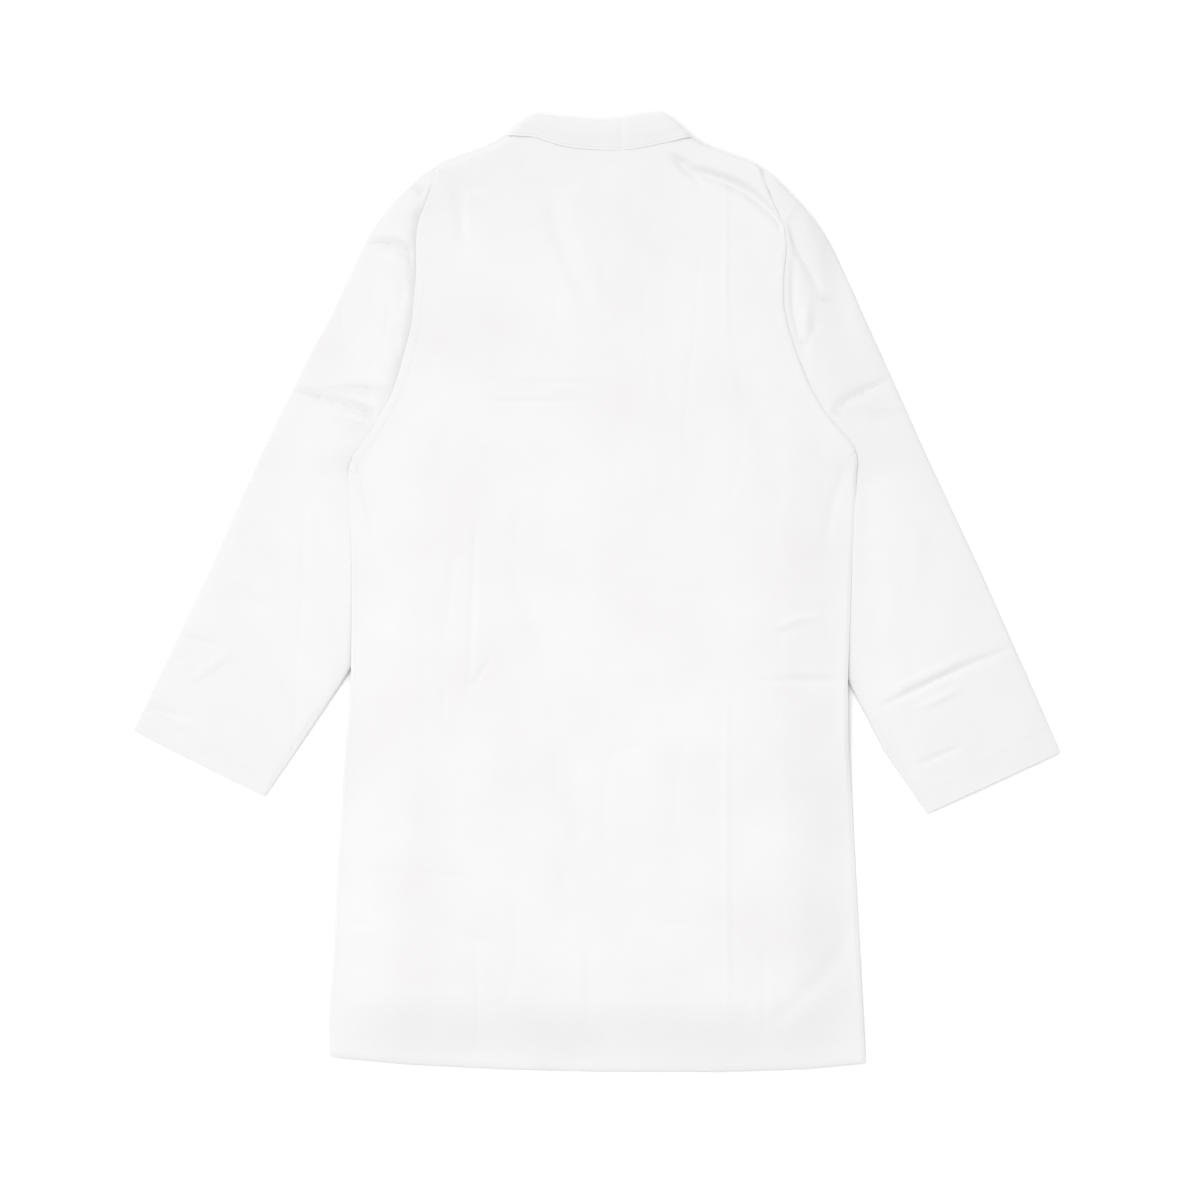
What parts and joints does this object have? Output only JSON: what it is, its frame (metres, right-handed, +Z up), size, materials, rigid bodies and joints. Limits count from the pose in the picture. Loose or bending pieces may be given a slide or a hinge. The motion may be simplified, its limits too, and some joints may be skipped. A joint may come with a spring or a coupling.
{
  "type": "lab coat",
  "caption": "White lab coat lying on its front, back uppermost and sleeves spread, with a turned-down collar.",
  "frame": {"origin": "middle of the laid coat's outline, on the surface that it lies on", "axes": "+X to the wearer's right, +Y from the hem to the collar, +Z up out of the back"},
  "size_m": [0.976, 1.009, 0.0207],
  "materials": {
    "coat_cloth": "matt",
    "tape": "matt",
    "interlining": "matt",
    "button_resin": "glossy",
    "thread": "satin"
  },
  "bodies": {
    "coat": {"back_hem": "coat_cloth", "back_panel": "coat_cloth", "button_1": "button_resin", "button_2": "button_resin", "button_3": "button_resin", "button_4": "button_resin", "button_5": "button_resin", "button_thread_1": "thread", "button_thread_2": "thread", "button_thread_3": "thread", "button_thread_4": "thread", "button_thread_5": "thread", "chest_pocket": "coat_cloth", "chest_pocket_hem": "coat_cloth", "collar_stand": "coat_cloth", "hanger_loop": "tape", "left_armhole_seam": "coat_cloth", "left_collar_point": "coat_cloth", "left_front": "coat_cloth", "left_front_facing": "coat_cloth", "left_front_hem": "coat_cloth", "left_hip_pocket": "coat_cloth", "left_hip_pocket_hem": "coat_cloth", "left_lapel": "coat_cloth", "left_shoulder_seam": "coat_cloth", "left_side_seam": "coat_cloth", "left_sleeve_head": "coat_cloth", "neck_tape": "tape", "right_armhole_seam": "coat_cloth", "right_collar_point": "coat_cloth", "right_front": "coat_cloth", "right_front_facing": "coat_cloth", "right_front_hem": "coat_cloth", "right_hip_pocket": "coat_cloth", "right_hip_pocket_hem": "coat_cloth", "right_lapel": "coat_cloth", "right_shoulder_seam": "coat_cloth", "right_side_seam": "coat_cloth", "right_sleeve_head": "coat_cloth", "size_label": "tape"},
    "left_sleeve": {"left_sleeve": "coat_cloth", "left_under_sleeve": "coat_cloth", "left_sleeve_hem": "coat_cloth"},
    "right_sleeve": {"right_sleeve": "coat_cloth", "right_under_sleeve": "coat_cloth", "right_sleeve_hem": "coat_cloth"},
    "collar_fall": {"under_collar": "coat_cloth", "collar_interlining": "interlining", "upper_collar": "coat_cloth"}
  },
  "joints": [
    {"name": "left_sleeve_fold", "type": "hinge", "parent": "coat", "child": "left_sleeve", "pos_m": [-0.26807, 0.1, 0.0136], "axis": [0, 1, 0], "range_deg": [0, 180]},
    {"name": "right_sleeve_fold", "type": "hinge", "parent": "coat", "child": "right_sleeve", "pos_m": [0.26793, 0.1, 0.0136], "axis": [0, -1, 0], "range_deg": [0, 180]},
    {"name": "collar_turn", "type": "hinge", "parent": "coat", "child": "collar_fall", "pos_m": [0, 0.5046, 0.01805], "axis": [-1, 0, 0], "range_deg": [0, 170]}
  ]
}
